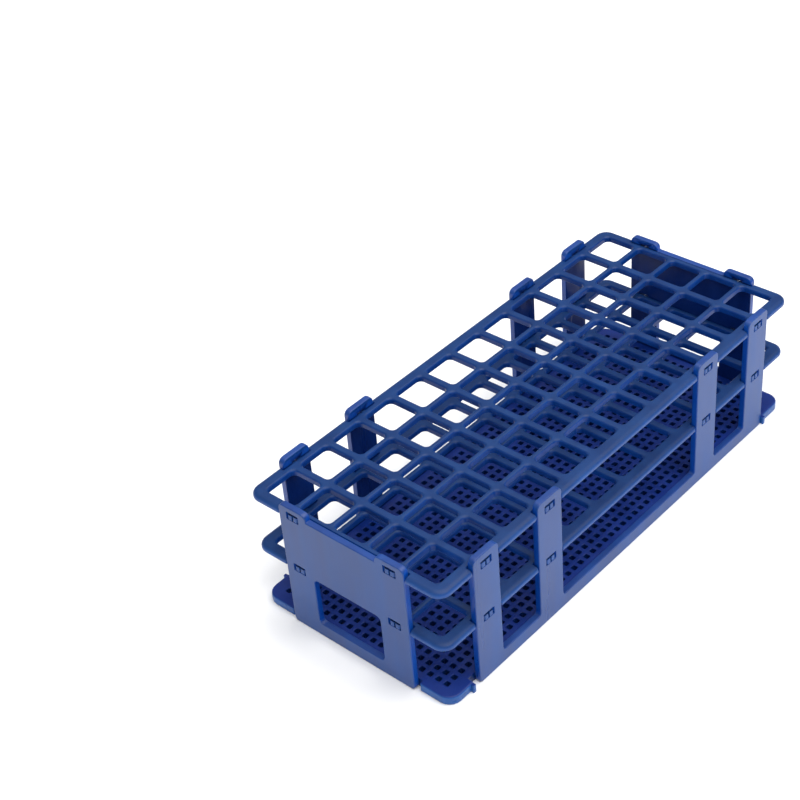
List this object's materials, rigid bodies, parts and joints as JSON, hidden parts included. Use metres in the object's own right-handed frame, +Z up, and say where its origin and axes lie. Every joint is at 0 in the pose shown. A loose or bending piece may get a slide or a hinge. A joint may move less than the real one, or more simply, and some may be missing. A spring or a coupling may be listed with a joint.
{
  "type": "test tube rack",
  "caption": "Snap-together laboratory rack of blue plastic: two open square-cell grids above a perforated tray, joined by slotted side frames and end plates.",
  "frame": {"origin": "on the resting surface, under the centre of the rack", "axes": "+X along the rack, +Y across it from the front frame to the back frame, +Z up through the wells"},
  "size_m": [0.2472, 0.1074, 0.0663],
  "materials": {
    "grid_plastic": "satin moulded polypropylene",
    "tray_plastic": "satin moulded polypropylene",
    "frame_plastic": "satin moulded polypropylene"
  },
  "bodies": {
    "root": {"top_grid": "grid_plastic", "middle_grid": "grid_plastic", "bottom_tray": "tray_plastic", "front_frame": "frame_plastic", "back_frame": "frame_plastic", "left_end_plate": "frame_plastic", "right_end_plate": "frame_plastic"}
  },
  "joints": []
}
